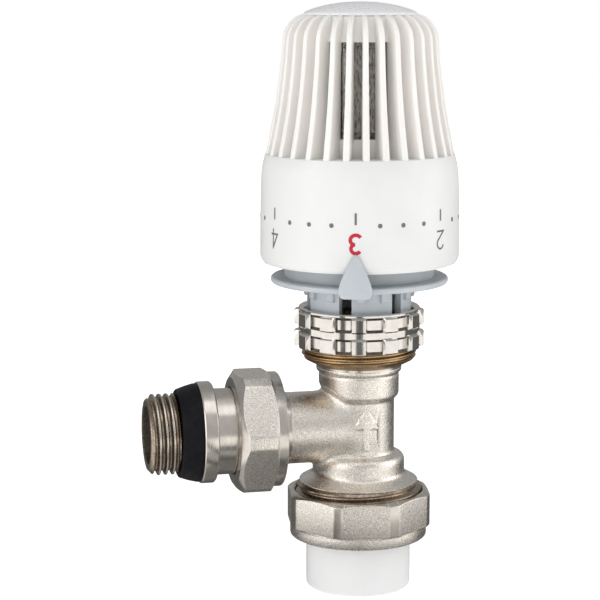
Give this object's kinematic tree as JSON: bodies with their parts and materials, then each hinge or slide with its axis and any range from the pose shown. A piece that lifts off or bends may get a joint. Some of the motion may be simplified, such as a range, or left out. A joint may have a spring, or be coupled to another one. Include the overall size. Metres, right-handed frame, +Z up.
{
  "type": "thermostatic radiator valve",
  "caption": "Angle radiator valve with a ribbed sensor head, a numbered dial, a lock nut and union nuts on its inlet and radiator sides.",
  "frame": {"origin": "centre of the mouth of the inlet welding socket", "axes": "+Z up the spindle towards the head, -X along the radiator branch, -Y towards the dial's pointer side"},
  "size_m": [0.082, 0.0529, 0.1531],
  "materials": {
    "plated_brass": "satin, sandblasted nickel plate on brass",
    "machined_brass": "turned",
    "chrome": "bright",
    "white_plastic": "satin",
    "grey_plastic": "satin",
    "pipe_plastic": "smooth",
    "black_rubber": "matte",
    "steel": "turned",
    "sensor_metal": "matte, speckled"
  },
  "bodies": {
    "valve": {"valve_body": "plated_brass", "bonnet": "machined_brass", "bonnet_oring": "black_rubber", "gland_nut": "machined_brass", "gland_oring": "black_rubber", "spindle_spring": "steel"},
    "stem": {"spindle": "steel", "valve_disc": "machined_brass", "disc_washer": "black_rubber", "disc_screw": "machined_brass"},
    "inlet": {"inlet_tail": "pipe_plastic", "inlet_gasket": "black_rubber"},
    "inlet_nut": {"inlet_nut": "plated_brass"},
    "tail": {"outlet_tail": "plated_brass", "outlet_oring": "black_rubber", "self_seal_ring": "black_rubber"},
    "outlet_nut": {"outlet_nut": "plated_brass"},
    "head": {"head_base": "grey_plastic", "indicator_ring": "grey_plastic"},
    "lock_nut": {"lock_nut": "chrome"},
    "sensor": {"sensor_capsule": "sensor_metal", "sensor_piston": "steel", "sensor_carrier": "grey_plastic", "overtravel_spring": "steel", "transmission_pin": "white_plastic"},
    "handwheel": {"handwheel": "white_plastic", "top_cap": "white_plastic"}
  },
  "joints": [
    {"name": "inlet_slide", "type": "slide", "parent": "valve", "child": "inlet", "axis": [0, 0, -1], "range_m": [0, 0.00693]},
    {"name": "inlet_nut_turn", "type": "hinge", "parent": "inlet", "child": "inlet_nut", "pos_m": [0, 0, 0.02], "axis": [0, 0, -1], "range_deg": [0, 1080]},
    {"name": "tail_slide", "type": "slide", "parent": "valve", "child": "tail", "axis": [-1, 0, 0], "range_m": [0, 0.00726]},
    {"name": "outlet_nut_turn", "type": "hinge", "parent": "tail", "child": "outlet_nut", "pos_m": [-0.026, 0, 0.0432], "axis": [-1, 0, 0], "range_deg": [0, 1440]},
    {"name": "head_lift", "type": "slide", "parent": "valve", "child": "head", "axis": [0, 0, 1], "range_m": [0, 0.00788]},
    {"name": "lock_nut_turn", "type": "hinge", "parent": "head", "child": "lock_nut", "pos_m": [0, 0, 0.07], "axis": [0, 0, 1], "range_deg": [0, 1890]},
    {"name": "sensor_travel", "type": "slide", "parent": "head", "child": "sensor", "axis": [0, 0, 1], "range_m": [-0.0018, 0.0012]},
    {"name": "handwheel_turn", "type": "hinge", "parent": "sensor", "child": "handwheel", "pos_m": [0, 0, 0.1], "axis": [0, 0, 1], "range_deg": [-162, 108]},
    {"name": "spindle_travel", "type": "slide", "parent": "valve", "child": "stem", "axis": [0, 0, 1], "range_m": [-0.0018, 0.0012], "deforming": ["spindle_spring"]}
  ],
  "couplings": [
    {"joint": "inlet_slide", "follows": "inlet_nut_turn", "m_per_rad": 0.00036749},
    {"joint": "tail_slide", "follows": "outlet_nut_turn", "m_per_rad": 0.00028871},
    {"joint": "head_lift", "follows": "lock_nut_turn", "m_per_rad": 0.00023873},
    {"joint": "sensor_travel", "follows": "handwheel_turn", "m_per_rad": 0.00063662},
    {"joint": "spindle_travel", "follows": "handwheel_turn", "m_per_rad": 0.00063662}
  ]
}
